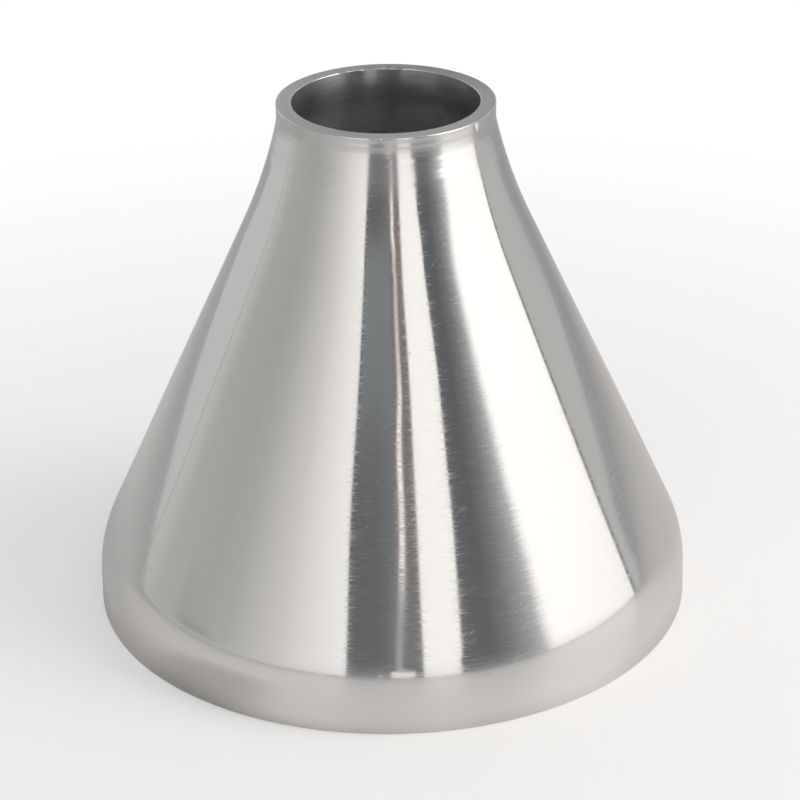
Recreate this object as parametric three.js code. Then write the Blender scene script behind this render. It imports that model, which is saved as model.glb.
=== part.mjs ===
// A concentric reducer: a butt-weld pipe fitting that joins a wide tube to a narrow one on the same axis.
// It is one piece of stainless steel, formed to a skirt, a rounded shoulder, a straight cone, a flare and
// a short neck, and cut square at both ends for welding. Nothing in it is assembled and nothing moves.
// Units are millimetres. The axis is Z, the wide end's face lies on Z = 0 and the narrow end is up.

import * as THREE from "three";

// Driving dimensions of the outer skin, from the wide end up.
const LARGE_DIAMETER = 108;
const SMALL_DIAMETER = 38;
const LENGTH = 94;
const SKIRT_HEIGHT = 5.2; // straight tube below the shoulder
const SHOULDER_RADIUS = 20.2; // bend from skirt to cone
const FLARE_RADIUS = 95; // bend from cone to neck, its long gentle part
const NECK_RADIUS = 12.2; // bend from cone to neck, its tight part under the rim
const NECK_TURN = THREE.MathUtils.degToRad(13.4); // how far the tight part turns
const NECK_HEIGHT = 1.7; // straight tube above the bend

// Necking a tube down thickens its wall, so the narrow end is the thicker one.
const LARGE_WALL = 2.5;
const SMALL_WALL = 2.7;
const EDGE_BREAK = 0.25; // chamfer that takes the burr off the corners of each end

// How finely the round stretches are divided.
const TURN_SEGMENTS = 96;
const SHOULDER_SEGMENTS = 7;
const FLARE_SEGMENTS = 4;
const NECK_SEGMENTS = 3;

// One skin of the wall, as points (radius, height) from the wide end up to the narrow end. Both skins bend
// about the same three centres, so a skin inset by the wall's thickness has a tighter shoulder and a wider
// flare and neck.
function skin(shoulderInset, neckInset) {
  const shoulderRadius = SHOULDER_RADIUS - shoulderInset;
  const flareRadius = FLARE_RADIUS + neckInset;
  const neckRadius = NECK_RADIUS + neckInset;
  const shoulder = new THREE.Vector2(LARGE_DIAMETER / 2 - SHOULDER_RADIUS, SKIRT_HEIGHT);
  const neck = new THREE.Vector2(SMALL_DIAMETER / 2 + NECK_RADIUS, LENGTH - NECK_HEIGHT);
  const towardsFlare = new THREE.Vector2(Math.cos(NECK_TURN), Math.sin(NECK_TURN));
  const flare = neck.clone().addScaledVector(towardsFlare, FLARE_RADIUS - NECK_RADIUS);

  // The cone is the straight line that touches the shoulder's circle and the flare's, between the two.
  const between = flare.clone().sub(shoulder);
  const coneAngle = between.angle() - Math.acos((shoulderRadius + flareRadius) / between.length());

  const bend = (centre, radius, from, to, clockwise, segments) =>
    new THREE.EllipseCurve(centre.x, centre.y, radius, radius, from, to, clockwise).getPoints(segments);
  const flareEnd = Math.PI + NECK_TURN;
  return [
    ...bend(shoulder, shoulderRadius, 0, coneAngle, false, SHOULDER_SEGMENTS),
    ...bend(flare, flareRadius, Math.PI + coneAngle, flareEnd, true, FLARE_SEGMENTS),
    ...bend(neck, neckRadius, flareEnd, Math.PI, true, NECK_SEGMENTS).slice(1),
  ];
}

// The wall's cross-section, closed: down the inner skin, round the wide end and up the outer skin.
function wallSection() {
  const largeOuter = LARGE_DIAMETER / 2;
  const largeInner = largeOuter - LARGE_WALL;
  const smallOuter = SMALL_DIAMETER / 2;
  const smallInner = smallOuter - SMALL_WALL;
  const section = [
    new THREE.Vector2(smallInner, LENGTH - EDGE_BREAK),
    ...skin(LARGE_WALL, SMALL_WALL).reverse(),
    new THREE.Vector2(largeInner, EDGE_BREAK),
    new THREE.Vector2(largeInner + EDGE_BREAK, 0),
    new THREE.Vector2(largeOuter - EDGE_BREAK, 0),
    new THREE.Vector2(largeOuter, EDGE_BREAK),
    ...skin(0, 0),
    new THREE.Vector2(smallOuter, LENGTH - EDGE_BREAK),
    new THREE.Vector2(smallOuter - EDGE_BREAK, LENGTH),
    new THREE.Vector2(smallInner + EDGE_BREAK, LENGTH),
  ];
  section.push(section[0].clone());
  return section;
}

// Polished stainless steel, outside and in.
const stainless = new THREE.MeshStandardMaterial({ color: 0xc9c8c4, roughness: 0.22, metalness: 1 });

// The whole fitting is the wall's section turned once round the axis. LatheGeometry turns about Y.
function reducerBody() {
  const body = new THREE.Mesh(new THREE.LatheGeometry(wallSection(), TURN_SEGMENTS), stainless);
  body.name = "reducer_body";
  body.rotation.x = Math.PI / 2;
  return body;
}

const reducer = new THREE.Group();
reducer.add(reducerBody());

export default reducer;
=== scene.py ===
"""Looks of the concentric reducer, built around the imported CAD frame.

The fitting is one piece of stainless steel: polished outside, satin inside and square-cut at both ends.
Units are metres and degrees. The axis is Z, the wide end stands on Z = 0 and the narrow end is up.
A bearing is an angle round the axis, seen from above: 0 is the side that faces the camera, and it grows
towards +X, the camera's right.
"""

import math

import bpy
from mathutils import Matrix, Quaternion, Vector, noise


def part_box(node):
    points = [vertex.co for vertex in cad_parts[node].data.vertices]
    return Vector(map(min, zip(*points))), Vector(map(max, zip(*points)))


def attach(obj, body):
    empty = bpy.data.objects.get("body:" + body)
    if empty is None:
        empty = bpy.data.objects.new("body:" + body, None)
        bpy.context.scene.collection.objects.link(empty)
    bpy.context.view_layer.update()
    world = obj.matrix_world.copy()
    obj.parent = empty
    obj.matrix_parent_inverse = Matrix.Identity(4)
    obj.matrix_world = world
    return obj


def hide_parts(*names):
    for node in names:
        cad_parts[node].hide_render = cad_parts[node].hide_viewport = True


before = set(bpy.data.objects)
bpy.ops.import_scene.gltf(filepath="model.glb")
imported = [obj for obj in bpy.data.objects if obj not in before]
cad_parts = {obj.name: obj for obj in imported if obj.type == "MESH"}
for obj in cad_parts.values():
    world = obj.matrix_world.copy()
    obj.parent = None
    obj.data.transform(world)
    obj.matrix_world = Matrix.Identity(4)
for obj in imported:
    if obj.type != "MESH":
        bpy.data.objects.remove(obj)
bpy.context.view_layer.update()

MM = 0.001
NODE = "reducer_body"

# The frame gives the diameters, the length and the walls. The bends are the CAD design's own.
body_low, body_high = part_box(NODE)
LARGE_RADIUS = (body_high.x - body_low.x) / 2
LENGTH = body_high.z
CAD_CORNER = 0.25 * MM  # the CAD breaks every corner of the two end faces by this much
EDGE_RADIUS = 0.15 * MM  # and here they are rounded by this much
SKIRT_HEIGHT = 5.2 * MM
SHOULDER_RADIUS = 20.2 * MM
FLARE_RADIUS = 95 * MM
NECK_RADIUS = 12.2 * MM
NECK_TURN = math.radians(13.4)
NECK_HEIGHT = 1.7 * MM

TURN_STEPS = 384  # how many times the section repeats round the axis
ROW_HEIGHT = 1.2 * MM  # spacing of the rows on the long stretches
SHOULDER_STEPS = 20
FLARE_STEPS = 20
NECK_STEPS = 10
EDGE_STEPS = 5

# The press leaves the outside very slightly wavy, which bends the reflections.
WAVE_DEPTH = 0.18 * MM
WAVE_LENGTH = 26 * MM
WAVE_END = 3 * MM  # the waves die out this near to the two ends
# The ends have been knocked about a little: edge, bearing, width and depth of each nick.
NICKS = [
    ("small_inner_edge", 179, 0.6 * MM, 0.45 * MM),
    ("small_inner_edge", 172, 1.2 * MM, 0.25 * MM),
    ("small_inner_edge", -169, 1.6 * MM, 0.22 * MM),
    ("small_inner_edge", -152, 0.9 * MM, 0.20 * MM),
    ("small_outer_edge", 53, 0.6 * MM, 0.40 * MM),
    ("small_outer_edge", -4, 0.8 * MM, 0.14 * MM),
    ("small_outer_edge", -128, 0.9 * MM, 0.28 * MM),
    ("small_outer_edge", 141, 0.8 * MM, 0.24 * MM),
    ("small_outer_edge", 174, 2.4 * MM, 0.20 * MM),
    ("large_outer_edge", -37, 0.9 * MM, 0.20 * MM),
    ("large_outer_edge", 84, 0.8 * MM, 0.22 * MM),
    ("large_outer_edge", 163, 1.1 * MM, 0.24 * MM),
]


# ---------------------------------------------------------------- shape

def end_face_radii(height):
    """Inner and outer radius of the CAD's end face at this height, with its broken corners filled."""
    points = [v.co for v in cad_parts[NODE].data.vertices if abs(v.co.z - height) < 0.01 * MM]
    radii = [math.hypot(p.x, p.y) for p in points]
    return min(radii) - CAD_CORNER, max(radii) + CAD_CORNER


LARGE_BORE = end_face_radii(0)[0]
SMALL_BORE, SMALL_RADIUS = end_face_radii(LENGTH)
LARGE_WALL = LARGE_RADIUS - LARGE_BORE
SMALL_WALL = SMALL_RADIUS - SMALL_BORE


def arc(centre, radius, start, end, steps):
    """Points (r, z) of an arc, both ends included."""
    turns = [start + (end - start) * i / steps for i in range(steps + 1)]
    return [(centre[0] + radius * math.cos(t), centre[1] + radius * math.sin(t)) for t in turns]


def line(start, end):
    """Points of a straight stretch, both ends included, about one row height apart."""
    steps = max(1, round(math.dist(start, end) / ROW_HEIGHT))
    return [tuple(a + (b - a) * i / steps for a, b in zip(start, end)) for i in range(steps + 1)]


def skin(shoulder_inset, neck_inset):
    """One skin of the wall, from the wide end's corner up to the narrow end's."""
    shoulder_radius = SHOULDER_RADIUS - shoulder_inset
    flare_radius = FLARE_RADIUS + neck_inset
    neck_radius = NECK_RADIUS + neck_inset
    shoulder = (LARGE_RADIUS - SHOULDER_RADIUS, SKIRT_HEIGHT)
    neck = (SMALL_RADIUS + NECK_RADIUS, LENGTH - NECK_HEIGHT)
    reach = FLARE_RADIUS - NECK_RADIUS
    flare = (neck[0] + reach * math.cos(NECK_TURN), neck[1] + reach * math.sin(NECK_TURN))

    # The cone is the straight line that touches the shoulder's circle and the flare's, between the two.
    bearing = math.atan2(flare[1] - shoulder[1], flare[0] - shoulder[0])
    cone = bearing - math.acos((shoulder_radius + flare_radius) / math.dist(flare, shoulder))

    shoulder_arc = arc(shoulder, shoulder_radius, 0, cone, SHOULDER_STEPS)
    flare_arc = arc(flare, flare_radius, math.pi + cone, math.pi + NECK_TURN, FLARE_STEPS)
    neck_arc = arc(neck, neck_radius, math.pi + NECK_TURN, math.pi, NECK_STEPS)
    skirt = line((LARGE_RADIUS - shoulder_inset, EDGE_RADIUS), shoulder_arc[0])
    collar = line(neck_arc[-1], (SMALL_RADIUS - neck_inset, LENGTH - EDGE_RADIUS))
    cone_line = line(shoulder_arc[-1], flare_arc[0])
    return skirt[:-1] + shoulder_arc[:-1] + cone_line[:-1] + flare_arc[:-1] + neck_arc[:-1] + collar


def corner(radius, height, start):
    """The round that breaks a corner: a quarter turn about a centre inside the metal."""
    return arc((radius, height), EDGE_RADIUS, start, start + math.pi / 2, EDGE_STEPS)


def wall_section():
    """The closed section as stretches (name, points), going up the outside and down the inside."""
    quarter = math.pi / 2
    top = LENGTH - EDGE_RADIUS
    return [
        ("outside", skin(0, 0)),
        ("small_outer_edge", corner(SMALL_RADIUS - EDGE_RADIUS, top, 0)),
        ("small_end", line((SMALL_RADIUS - EDGE_RADIUS, LENGTH), (SMALL_BORE + EDGE_RADIUS, LENGTH))),
        ("small_inner_edge", corner(SMALL_BORE + EDGE_RADIUS, top, quarter)),
        ("inside", skin(LARGE_WALL, SMALL_WALL)[::-1]),
        ("large_inner_edge", corner(LARGE_BORE + EDGE_RADIUS, EDGE_RADIUS, 2 * quarter)),
        ("large_end", line((LARGE_BORE + EDGE_RADIUS, 0), (LARGE_RADIUS - EDGE_RADIUS, 0))),
        ("large_outer_edge", corner(LARGE_RADIUS - EDGE_RADIUS, EDGE_RADIUS, 3 * quarter)),
    ]


def material_index(stretch):
    """Which of the three finishes a stretch has: 0 polished, 1 satin, 2 cut."""
    return {"inside": 1, "small_end": 2, "large_end": 2}.get(stretch, 0)


def bearing_of(x, y):
    return math.degrees(math.atan2(x, -y))


def dent(stretch, point):
    """How far a point of the finished surface lies below the true section, along the metal's normal."""
    x, y, z = point
    if stretch == "outside":
        wave = noise.noise(Vector(point) / WAVE_LENGTH)
        from_end = min(z, LENGTH - z) / WAVE_END
        return WAVE_DEPTH * (0.5 + 0.5 * wave) * min(1, max(0, from_end))
    depth = 0
    for edge, bearing, width, nick_depth in NICKS:
        if edge == stretch:
            away = (bearing_of(x, y) - bearing + 180) % 360 - 180
            distance = math.radians(away) * math.hypot(x, y)
            depth += nick_depth * math.exp(-((distance / (width / 2)) ** 2))
    return depth


def lathe(section):
    """A closed mesh: the section's stretches turned once round Z."""
    rows, row_stretch, first_rows = [], [], set()
    for name, points in section:
        first_rows.add(len(rows))
        for point in points[:-1]:
            rows.append(point)
            row_stretch.append(name)
    count = len(rows)
    turn = 2 * math.pi / TURN_STEPS
    spokes = [(math.cos(i * turn), math.sin(i * turn)) for i in range(TURN_STEPS)]

    vertices = []
    for row, (r, z) in enumerate(rows):
        before, after = rows[row - 1], rows[(row + 1) % count]
        out = Vector((after[1] - before[1], before[0] - after[0])).normalized()
        for c, s in spokes:
            depth = dent(row_stretch[row], (r * c, r * s, z))
            radius = r - depth * out.x
            vertices.append((radius * c, radius * s, z - depth * out.y))

    def index(row, step):
        return (row % count) * TURN_STEPS + step % TURN_STEPS

    faces = [
        (index(row, step), index(row, step + 1), index(row + 1, step + 1), index(row + 1, step))
        for row in range(count)
        for step in range(TURN_STEPS)
    ]
    mesh = bpy.data.meshes.new(NODE)
    mesh.from_pydata(vertices, [], faces)
    mark_surface(mesh, rows, row_stretch, first_rows)
    return mesh


def mark_surface(mesh, rows, row_stretch, first_rows):
    """Gives a turned mesh its finishes and the sharp lines between its stretches. It also stores how far
    round the section each point lies, and an unwrapped map."""
    count = len(rows)
    lengths = [0.0]
    for row in range(count):
        lengths.append(lengths[-1] + math.dist(rows[row], rows[(row + 1) % count]))
    along = mesh.attributes.new("along", "FLOAT", "POINT")
    along.data.foreach_set("value", [lengths[row] for row in range(count) for _ in range(TURN_STEPS)])

    sharp = mesh.attributes.new("sharp_edge", "BOOLEAN", "EDGE")
    for edge in mesh.edges:
        row_a, row_b = (v // TURN_STEPS for v in edge.vertices)
        sharp.data[edge.index].value = row_a == row_b and row_a in first_rows

    uv = mesh.uv_layers.new(name="OFBake")
    for face in mesh.polygons:
        row, step = divmod(face.index, TURN_STEPS)
        face.use_smooth = True
        face.material_index = material_index(row_stretch[row])
        ends = [(step, row), (step + 1, row), (step + 1, row + 1), (step, row + 1)]
        for loop, (u, v) in zip(face.loop_indices, ends):
            uv.data[loop].uv = (u / TURN_STEPS, lengths[v] / lengths[-1])


# ---------------------------------------------------------------- materials

class Graph:
    """Short ways to write a node tree."""

    def __init__(self, tree):
        self.tree = tree
        tree.nodes.clear()

    def node(self, kind, inputs=None, **settings):
        made = self.tree.nodes.new("ShaderNode" + kind)
        for name, value in settings.items():
            setattr(made, name, value)
        for name, value in (inputs or {}).items():
            self.feed(made.inputs[name], value)
        return made

    def feed(self, socket, value):
        if isinstance(value, bpy.types.NodeSocket):
            self.tree.links.new(value, socket)
        else:
            socket.default_value = value

    def math(self, operation, *values):
        made = self.node("Math", operation=operation)
        for socket, value in zip(made.inputs, values):
            self.feed(socket, value)
        return made.outputs[0]

    def product(self, first, *others):
        for other in others:
            first = self.math("MULTIPLY", first, other)
        return first

    def total(self, first, *others):
        for other in others:
            first = self.math("ADD", first, other)
        return first

    def vector(self, operation, *values, scale=None):
        made = self.node("VectorMath", operation=operation)
        for socket, value in zip(made.inputs, values):
            self.feed(socket, value)
        if scale is not None:
            self.feed(made.inputs["Scale"], scale)
        return made.outputs["Value"] if operation in ("DOT_PRODUCT", "LENGTH") else made.outputs[0]

    def ramp(self, value, from_low, from_high, to_low, to_high, kind="SMOOTHSTEP"):
        """Maps from_low..from_high onto to_low..to_high with soft ends. Values beyond the ends stay there."""
        limits = {"From Min": from_low, "From Max": from_high, "To Min": to_low, "To Max": to_high}
        return self.node("MapRange", {"Value": value, **limits}, interpolation_type=kind).outputs[0]

    def even_ramp(self, value, from_low, from_high, to_low, to_high):
        """The same along a straight line."""
        return self.ramp(value, from_low, from_high, to_low, to_high, "LINEAR")

    def noise(self, vector, scale=1.0, detail=2.0, roughness=0.5):
        inputs = {"Vector": vector, "Scale": scale, "Detail": detail, "Roughness": roughness}
        return self.node("TexNoise", inputs).outputs[0]

    def position(self):
        return self.node("NewGeometry").outputs["Position"]

    def place(self, axis):
        """The position along "X", "Y" or "Z"."""
        return self.node("SeparateXYZ", {"Vector": self.position()}).outputs[axis]


def turned(graph, around, along):
    """Coordinates drawn out round the axis: 'around' units to a radian and 'along' units to a metre of the
    section. They have no seam."""
    flat = graph.vector("MULTIPLY", graph.position(), (1, 1, 0))
    spoke = graph.vector("SCALE", graph.vector("NORMALIZE", flat), scale=around)
    distance = graph.node("Attribute", attribute_name="along").outputs["Fac"]
    lift = graph.node("CombineXYZ", {"Z": graph.product(distance, along)}).outputs[0]
    return graph.vector("ADD", spoke, lift)


def turned_lines(graph, around, along, detail=2.0):
    """Noise drawn out into lines that run round the axis."""
    return graph.noise(turned(graph, around, along), detail=detail, roughness=0.6)


SCRATCH_SHEETS = 6500  # sheets of noise to a metre; a scratch is where the surface cuts one
SCRATCHED_PATCHES = 42.0  # noise cells to a metre


def scratches(graph, tilt, length, rarity):
    """Sparse fine straight marks of about this length, tilted by this angle."""
    position = graph.position()
    inputs = {"Vector": position, "Angle": math.radians(tilt)}
    rotated = graph.node("VectorRotate", inputs, rotation_type="Y_AXIS").outputs[0]
    sheets = graph.vector("MULTIPLY", rotated, (1 / length, 1 / length, SCRATCH_SHEETS))
    marks = graph.ramp(graph.noise(sheets, detail=1.0), rarity, rarity + 0.05, 0, 1)
    patches = graph.ramp(graph.noise(position, SCRATCHED_PATCHES, 1.0), 0.52, 0.60, 0, 1)
    return graph.product(patches, marks)


def specks(graph, spacing, rarity):
    """A tiny round pit in a few cells of this size."""
    cells = graph.node("TexVoronoi", {"Vector": graph.position(), "Scale": 1 / spacing})
    chance = graph.vector("DOT_PRODUCT", cells.outputs["Color"], (1, 0, 0))
    chosen = graph.math("GREATER_THAN", chance, rarity)
    return graph.product(chosen, graph.ramp(cells.outputs["Distance"], 0.05, 0.09, 1, 0))


def wear(graph):
    """1 on the outside's scratches and pits, and 0 between them."""
    steep = scratches(graph, tilt=46, length=6 * MM, rarity=0.70)
    shallow = scratches(graph, tilt=15, length=2 * MM, rarity=0.74)
    pits = specks(graph, spacing=3.5 * MM, rarity=0.96)
    return graph.math("MAXIMUM", graph.math("MAXIMUM", steep, shallow), pits)


def brushed_patch(graph):
    """1, rising to 6 in a strip to the right of the front and in another behind it, where the hair lines
    are coarser."""
    across = graph.math("DIVIDE", graph.place("X"), graph.math("ABSOLUTE", graph.place("Y")))
    rise = graph.ramp(across, 0.20, 0.36, 0.0, 5.0)
    fall = graph.ramp(across, 0.50, 0.75, 1.0, 0.0)
    return graph.math("ADD", 1.0, graph.product(rise, fall))


def tilted_normal(graph, sideways, upward):
    """The surface's normal, tilted round the axis and along the section by these amounts."""
    normal = graph.node("NewGeometry").outputs["Normal"]
    around = graph.node("Tangent", direction_type="RADIAL", axis="Z").outputs[0]
    up = graph.vector("CROSS_PRODUCT", normal, around)
    turn = graph.vector("SCALE", around, scale=sideways)
    lift = graph.vector("SCALE", up, scale=upward)
    return graph.vector("NORMALIZE", graph.vector("ADD", normal, graph.vector("ADD", turn, lift)))


def steel(name, colour, build, metallic=1.0):
    """A metal worked round the axis. build(graph) returns its roughness, its normal, its shade, and how
    far its highlights are drawn out along the section, from 0 to 1."""
    material = bpy.data.materials.new(name)
    material.use_nodes = True
    graph = Graph(material.node_tree)
    shader = graph.node("BsdfPrincipled", {"Metallic": metallic})
    graph.feed(graph.node("OutputMaterial").inputs["Surface"], shader.outputs[0])
    roughness, normal, shade, spread = build(graph)
    graph.feed(shader.inputs["Roughness"], roughness)
    graph.feed(shader.inputs["Normal"], normal)
    graph.feed(shader.inputs["Base Color"], graph.vector("SCALE", colour, scale=shade))
    tangent = graph.node("Tangent", direction_type="RADIAL", axis="Z")
    graph.feed(shader.inputs["Tangent"], tangent.outputs[0])
    graph.feed(shader.inputs["Anisotropic"], spread)
    graph.feed(shader.inputs["Anisotropic Rotation"], 0.25)  # a quarter turn: along the section
    return material


def polished_outside():
    """Bright, with hair lines round the axis, and duller with smooth tool marks next to the neck's rim."""
    def build(graph):
        hairs = turned_lines(graph, around=16, along=7000)
        lines = turned_lines(graph, around=2.5, along=5200)
        jitter = turned_lines(graph, around=9, along=8000, detail=1.0)
        tool_marks = graph.noise(turned(graph, around=0.8, along=1500), detail=0.0)
        uneven = graph.noise(graph.position(), 45.0)
        near_neck = graph.ramp(graph.place("Z"), LENGTH - 12 * MM, LENGTH - 6 * MM, 0.0, 1.0)
        away = graph.math("SUBTRACT", 1.0, near_neck)

        roughness = graph.total(
            graph.product(away, graph.ramp(hairs, 0.42, 0.75, 0.055, 0.20)),
            graph.product(near_neck, 0.20),
            graph.ramp(uneven, 0.3, 0.7, -0.006, 0.01),
            graph.product(wear(graph), 0.14),
        )
        tilt = graph.product(away, graph.ramp(hairs, 0.45, 0.75, 0.007, 0.017), brushed_patch(graph))
        sideways = graph.product(graph.math("SUBTRACT", jitter, 0.5), tilt)
        upward = graph.product(graph.even_ramp(tool_marks, 0.2, 0.8, 0.0, 0.13), near_neck)
        shade = graph.even_ramp(graph.total(hairs, lines), 0.6, 1.4, 0.985, 1.015)
        spread = graph.ramp(near_neck, 0, 1, 0.5, 0.92)
        return roughness, tilted_normal(graph, sideways, upward), shade, spread

    return steel("polished_outside", (0.78, 0.775, 0.765), build)


def satin_inside():
    """Grey and stained, with painted light: its colour is paler deeper inside than at the mouth. The wear
    also tilts the mouth towards the opening.
    """
    def build(graph):
        height = graph.place("Z")
        lines = turned_lines(graph, around=2.5, along=2200)
        stains = graph.noise(graph.position(), 130.0, 4.0)
        smears = graph.noise(turned(graph, around=1.6, along=330))

        roughness = graph.ramp(lines, 0.3, 0.7, 0.235, 0.25)
        worn_mouth = graph.even_ramp(height, LENGTH - 8 * MM, LENGTH, 0.0, -0.13)
        upward = graph.total(worn_mouth, graph.even_ramp(smears, 0.2, 0.8, -0.03, 0.03))
        shade = graph.product(
            graph.ramp(stains, 0.3, 0.7, 0.86, 1.1),
            # painted light: the colour is lifted below the mouth, so the deeper wall looks lit
            graph.ramp(height, LENGTH - 10 * MM, LENGTH - 4.5 * MM, 1.72, 1.0),
            graph.even_ramp(lines, 0.3, 0.7, 0.93, 1.07),
        )
        return roughness, tilted_normal(graph, 0.0, upward), shade, 0.95

    return steel("satin_inside", (0.505, 0.51, 0.51), build, metallic=0.90)


def cut_end():
    """Grey with fine turned lines. Its colour is simply made a little darker towards the back and towards the
    right.
    """
    def build(graph):
        lines = turned_lines(graph, around=3.0, along=5200)
        patches = turned_lines(graph, around=1.5, along=300)

        roughness = graph.ramp(lines, 0.3, 0.7, 0.40, 0.50)
        upward = graph.even_ramp(lines, 0.2, 0.8, -0.03, 0.03)
        shade = graph.product(
            graph.ramp(patches, 0.3, 0.7, 0.96, 1.04),
            graph.ramp(graph.place("Y"), 0, SMALL_RADIUS, 1.09, 0.86),
            graph.ramp(graph.place("X"), -SMALL_RADIUS, SMALL_RADIUS, 1.14, 0.95),
        )
        return roughness, tilted_normal(graph, 0.0, upward), shade, 0.4

    return steel("cut_end", (0.475, 0.47, 0.47), build)


def reducer_body():
    mesh = lathe(wall_section())
    for material in (polished_outside(), satin_inside(), cut_end()):
        mesh.materials.append(material)
    body = bpy.data.objects.new("reducer_body_steel", mesh)
    bpy.context.scene.collection.objects.link(body)
    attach(body, "root")
    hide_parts(NODE)


# ---------------------------------------------------------------- studio

WARM = (1.025, 0.997, 0.975)
NEUTRAL = (0.995, 1.0, 1.01)
GREENISH = (1.01, 1.0, 0.945)
COOL = (0.95, 1.0, 1.04)
PINK = (1.10, 0.98, 0.94)
WHITE = (1.0, 1.0, 1.0)

WALL_DISTANCE = 480 * MM  # the studio's walls and cards stand in a ring this far from the axis
WALL_COLUMNS = 1200
# The ring's rows, which are closest near the table: first height, spacing and count of each lot.
WALL_ROWS = [(0, 2 * MM, 20), (40 * MM, 6.5 * MM, 40), (300 * MM, 29 * MM, 21)]
TOP = 900 * MM  # just over the ring's highest row
LEAN_FOOT = 90 * MM
LEAN_HEIGHT = 250 * MM
CEILING = 0.6

# The ring of walls, cards and lights, going round to the right: bearing up to LEAN_FOOT, bearing from
# LEAN_HEIGHT up, brightness and tint. The brightness runs evenly from one entry to the next.
WALLS = [
    (-180, -180, 0.60, NEUTRAL),
    (-116, -116, 0.61, NEUTRAL),
    (-109.2, -109.2, 0.62, WARM),
    (-108.9, -108.9, 0.40, GREENISH),  # a corner of the room
    (-108.4, -108.4, 0.40, GREENISH),
    (-108.1, -108.1, 0.60, GREENISH),
    (-97, -97, 0.46, GREENISH),
    (-74, -74, 0.43, GREENISH),
    (-62, -62, 0.475, GREENISH),
    (-51, -51, 0.60, WARM),
    (-42, -42, 0.70, WARM),
    (-33, -33, 0.86, WARM),
    (-18.6, -20.0, 1.06, WARM),
    (-17.2, -18.9, 1.04, NEUTRAL),  # a wide dark card
    (-16.7, -18.2, 0.14, COOL),
    (-7, -7, 0.145, COOL),
    (-2, -2, 0.175, COOL),
    (2, 3, 0.20, PINK),
    (6, 7, 0.19, PINK),
    (9.6, 10.6, 0.21, PINK),
    (10.3, 11.7, 1.15, WARM),  # a white card
    (22.9, 27.7, 1.18, WARM),
    (23.8, 28.5, 0.14, COOL),  # a second dark card, lit from its right side
    (36, 36, 0.13, COOL),
    (43, 43, 0.21, COOL),
    (50, 47.5, 0.36, NEUTRAL),
    (54, 50, 0.52, NEUTRAL),
    (57, 53, 1.1, WARM),  # the main light
    (59, 55, 1.33, WARM),
    (97.0, 97.2, 1.33, WARM),
    (97.4, 97.6, 0.15, COOL),  # its dark edge
    (98.6, 98.8, 0.20, COOL),
    (99.2, 99.4, 0.53, WARM),
    (110, 110, 0.55, WARM),
    (121, 121, 0.53, NEUTRAL),
    (128, 128, 0.49, NEUTRAL),
    (134, 134, 0.34, NEUTRAL),
    (141, 141, 0.36, NEUTRAL),
    (156, 156, 0.58, NEUTRAL),
    (180, 180, 0.60, NEUTRAL),
]
TABLE_HAZE = 0.62  # the walls' feet catch this much light from the table
HAZE_SHARE = 0.40
HAZE_HEIGHT = 60 * MM

# Patches laid over the ring: left and right bearing, lowest and highest point, how soft the edges are
# in degrees and in metres, brightness and tint.
PATCHES = [
    (-17, 1.5, 235 * MM, TOP, 1.5, 90 * MM, 0.26, COOL),  # the wide dark card is paler higher up
    (-1.3, 9.0, 48 * MM, 183 * MM, 1.0, 16 * MM, 0.215, COOL),  # a gap beside it
    (-1.3, 6.9, 4 * MM, 50 * MM, 0.4, 3 * MM, 0.90, WARM),  # the bright table under it
    (-5.8, -4.2, 4 * MM, 24 * MM, 0.3, 3 * MM, 0.60, WARM),
    (-104, -19, 0, 5 * MM, 2, 2 * MM, 0.56, NEUTRAL),  # a crease where the left wall meets the table
    (104, 152, -20 * MM, 27 * MM, 5, 10 * MM, 0.385, NEUTRAL),  # a shadow at the foot of the right wall
    (-84, -68, 20 * MM, 60 * MM, 8, 30 * MM, 0.375, GREENISH),  # a dim spot on the left wall
    (56, 97, 300 * MM, TOP, 1, 20 * MM, 4.2, WARM),  # the bright upper part of the main light
    (-178, -54, 340 * MM, TOP, 8, 80 * MM, 0.30, NEUTRAL),  # the dim upper part of the left wall
    (-46, -19, 360 * MM, TOP, 3, 50 * MM, 1.1, WARM),  # lights over the bright end of that wall
    (11, 27.5, 360 * MM, TOP, 1.5, 50 * MM, 1.4, WARM),  # and over the white card
    (-147, -133, 235 * MM, TOP, 1.5, 20 * MM, 1.05, WARM),  # white and dark cards behind the fitting
    (-132, -122, 235 * MM, TOP, 1.5, 20 * MM, 0.18, COOL),
    (124, 132, 235 * MM, TOP, 1.5, 20 * MM, 0.20, COOL),
    (133, 144, 235 * MM, TOP, 1.5, 20 * MM, 1.00, WARM),
]

# A narrow lamp stands in front of the dark card. It sways on its way up, and it is dimmer above its neck.
LAMP_FOOT = 178 * MM
LAMP_NECK = 255 * MM
LAMP_BEARING = 3.7
LAMP_LEAN = 16  # degrees to a metre
LAMP_SWAY = 0.45
SWAY_LENGTH = 50 * MM
SWAY_START = -1.13  # radians
LAMP_WIDTH = 2.3
LAMP_SOFTNESS = 0.6
LAMP_LIGHT = 1.1
LAMP_UPPER_LIGHT = 0.72
# A dim strip leads up to the lamp. It leans over above STRIP_BEND.
STRIP_FOOT = 50 * MM
STRIP_BEND = 150 * MM
STRIP_BEARING = 1.6
STRIP_LEAN = 60
STRIP_WIDTH = 2.4
STRIP_SOFTNESS = 1.4
STRIP_LIGHT = 0.44
LAMP_ENDS = 5 * MM  # how soft the ends of the lamp's parts and of the strip are


def smooth(value):
    """Eases from 0 to 1, as the value goes from 0 to 1."""
    value = min(1, max(0, value))
    return value * value * (3 - 2 * value)


def between(value, low, high, soft):
    """1 between low and high, 0 outside, with soft sides."""
    return smooth((value - low) / soft + 0.5) * smooth((high - value) / soft + 0.5)


def band(value, middle, width, soft):
    """1 within half this width of the middle, 0 outside, with soft sides."""
    return smooth((width / 2 - abs(value - middle)) / soft + 0.5)


def lit(level, tint):
    """The colour of a light of this brightness and tint."""
    return [level * channel for channel in tint]


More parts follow.
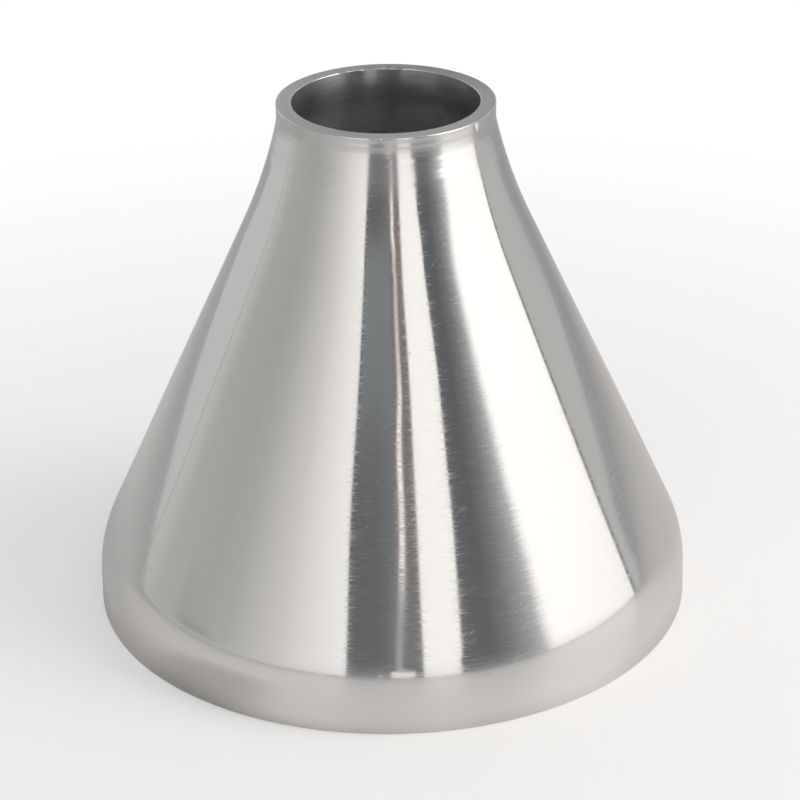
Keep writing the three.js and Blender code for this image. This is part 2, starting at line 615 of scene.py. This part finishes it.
def blend(a, b, share):
    """A colour between a and b."""
    return tuple(x + (y - x) * share for x, y in zip(a, b))


def wall_light(bearing, height):
    """Colour of the ring's light at this bearing and height."""
    lean = smooth((height - LEAN_FOOT) / (LEAN_HEIGHT - LEAN_FOOT))
    stops = [(low + (high - low) * lean, lit(level, tint)) for low, high, level, tint in WALLS]
    for (start, light_a), (end, light_b) in zip(stops, stops[1:]):
        if start <= bearing <= end:
            light = blend(light_a, light_b, (bearing - start) / (end - start))
    light = blend(light, lit(TABLE_HAZE, WHITE), HAZE_SHARE * math.exp(-height / HAZE_HEIGHT))
    for left, right, low, high, soft, soft_height, level, tint in PATCHES:
        cover = between(bearing, left, right, soft) * between(height, low, high, soft_height)
        light = blend(light, lit(level, tint), cover)
    return lamp_over(light, bearing, height)


def lamp_over(light, bearing, height):
    """The same light with the narrow lamp and the dim strip laid over it."""
    strip_middle = STRIP_BEARING + STRIP_LEAN * max(0, height - STRIP_BEND)
    strip = band(bearing, strip_middle, STRIP_WIDTH, STRIP_SOFTNESS)
    strip *= between(height, STRIP_FOOT, LAMP_FOOT, LAMP_ENDS)
    light = blend(light, lit(STRIP_LIGHT, NEUTRAL), strip)

    above = height - LAMP_FOOT
    sway = LAMP_SWAY * math.sin(2 * math.pi * above / SWAY_LENGTH + SWAY_START)
    lamp = band(bearing, LAMP_BEARING + LAMP_LEAN * above + sway, LAMP_WIDTH, LAMP_SOFTNESS)
    upper = lamp * between(height, LAMP_NECK, TOP, LAMP_ENDS)
    lower = lamp * between(height, LAMP_FOOT, LAMP_NECK, LAMP_ENDS)
    light = blend(light, lit(LAMP_UPPER_LIGHT, PINK), upper)
    return blend(light, lit(LAMP_LIGHT, PINK), lower)


def studio_walls():
    """The ring as a mesh that shines with the colour stored at its points. The camera doesn't see it."""
    heights = [first + spacing * i for first, spacing, count in WALL_ROWS for i in range(count)]
    vertices, colours = [], []
    for height in heights:
        for i in range(WALL_COLUMNS + 1):
            bearing = -180 + 360 * i / WALL_COLUMNS
            a = math.radians(bearing)
            vertices.append((WALL_DISTANCE * math.sin(a), -WALL_DISTANCE * math.cos(a), height))
            colours.extend((*wall_light(bearing, height), 1))
    width = WALL_COLUMNS + 1
    faces = [
        (row * width + i, row * width + i + 1, (row + 1) * width + i + 1, (row + 1) * width + i)
        for row in range(len(heights) - 1)
        for i in range(WALL_COLUMNS)
    ]
    mesh = bpy.data.meshes.new("studio_walls")
    mesh.from_pydata(vertices, [], faces)
    mesh.attributes.new("light", "FLOAT_COLOR", "POINT").data.foreach_set("color", colours)
    mesh.materials.append(wall_glow())
    walls = bpy.data.objects.new("studio_walls", mesh)
    bpy.context.scene.collection.objects.link(walls)
    walls.visible_camera = False


def wall_glow():
    """Shines with the colour stored at the mesh's points."""
    material = bpy.data.materials.new("studio_walls")
    material.use_nodes = True
    graph = Graph(material.node_tree)
    light = graph.node("Attribute", attribute_name="light").outputs["Color"]
    glow = graph.node("Emission", {"Color": light})
    graph.feed(graph.node("OutputMaterial").inputs["Surface"], glow.outputs[0])
    return material


def surroundings():
    """A soft white ceiling above the walls. The camera sees plain white."""
    world = bpy.data.worlds.new("studio")
    world.use_nodes = True
    bpy.context.scene.world = world
    graph = Graph(world.node_tree)
    is_camera = graph.node("LightPath").outputs["Is Camera Ray"]
    strength = graph.even_ramp(is_camera, 0, 1, CEILING, 1.0)
    sky = graph.node("Background", {"Color": (*WHITE, 1), "Strength": strength})
    graph.feed(graph.node("OutputWorld").inputs["Surface"], sky.outputs[0])


FLOOR_REACH = 4.0  # from the axis to each edge
FLOOR_DROP = 0.05 * MM  # keeps the floor just clear of the wide end's face
FLOOR_TINT = (1.02, 1.0, 0.985)
SEEN_SHADE = 0.99  # how pale the floor is where the camera looks straight at it
SHADOW_CENTRE = (-42 * MM, -48 * MM, 0)  # the darkest part of the shadow painted on the floor at the fitting's foot


def floor():
    """A pale floor, just under the fitting."""
    reach = FLOOR_REACH
    corners = [(x * reach, y * reach, -FLOOR_DROP) for x, y in ((-1, -1), (1, -1), (1, 1), (-1, 1))]
    mesh = bpy.data.meshes.new("floor")
    mesh.from_pydata(corners, [], [(0, 1, 2, 3)])
    mesh.materials.append(pale_floor())
    ground = bpy.data.objects.new("floor", mesh)
    bpy.context.scene.collection.objects.link(ground)


def reflected_shade(graph, distance):
    """How pale the floor is in the fitting's reflections, with painted shade: darker far away, behind the
    fitting and round its foot, where a painted contact shadow lies.
    """
    # Painted shade, laid into the floor's colour on top of the shadows the lights cast.
    far = graph.ramp(distance, 80 * MM, 320 * MM, 0.87, 0.64)
    behind = graph.ramp(graph.place("Y"), -25 * MM, 35 * MM, 1, 0.83)
    foot = graph.ramp(distance, LARGE_RADIUS - 2 * MM, LARGE_RADIUS + 5 * MM, 0.82, 1)
    from_shadow = graph.vector("LENGTH", graph.vector("SUBTRACT", graph.position(), SHADOW_CENTRE))
    painted_contact_shadow = graph.product(foot, graph.ramp(from_shadow, 6 * MM, 22 * MM, 0.72, 1))
    return graph.product(far, painted_contact_shadow, behind)


def pale_floor():
    """The camera sees this floor fade to plain white round the fitting."""
    material = bpy.data.materials.new("pale_floor")
    material.use_nodes = True
    graph = Graph(material.node_tree)
    is_camera = graph.node("LightPath").outputs["Is Camera Ray"]
    distance = graph.vector("LENGTH", graph.position())
    shade = graph.even_ramp(is_camera, 0, 1, reflected_shade(graph, distance), SEEN_SHADE)
    colour = graph.vector("SCALE", FLOOR_TINT, scale=shade)
    cloth = graph.node("BsdfPrincipled", {"Base Color": colour, "Roughness": 0.4})
    graph.feed(cloth.inputs["Specular IOR Level"], graph.even_ramp(is_camera, 0, 1, 0.7, 0.0))
    white = graph.node("Emission", {"Color": (*WHITE, 1)})
    fade = graph.product(is_camera, graph.ramp(distance, 50 * MM, 260 * MM, 0.35, 1))
    mix = graph.node("MixShader", {0: fade, 1: cloth.outputs[0], 2: white.outputs[0]})
    graph.feed(graph.node("OutputMaterial").inputs["Surface"], mix.outputs[0])
    return material


# ---------------------------------------------------------------- camera

CAMERA_ELEVATION = 26.15
CAMERA_DISTANCE = 488 * MM
AIM = Vector((1.78 * MM, 0, 36.5 * MM))
ROLL = 0.74
LENS = 121.1  # millimetres, for a sensor this many millimetres wide
SENSOR = 36


def camera():
    data = bpy.data.cameras.new("camera")
    data.lens = LENS
    data.sensor_width = SENSOR
    eye = bpy.data.objects.new("camera", data)
    bpy.context.scene.collection.objects.link(eye)
    elevation = math.radians(CAMERA_ELEVATION)
    back = Vector((0, -math.cos(elevation), math.sin(elevation)))
    eye.location = Vector((0, 0, AIM.z)) + back * CAMERA_DISTANCE
    look = (AIM - eye.location).to_track_quat("-Z", "Y")
    eye.rotation_mode = "QUATERNION"
    eye.rotation_quaternion = look @ Quaternion((0, 0, 1), math.radians(-ROLL))
    bpy.context.scene.camera = eye


reducer_body()
studio_walls()
surroundings()
floor()
camera()
bpy.context.scene.view_settings.view_transform = "Standard"
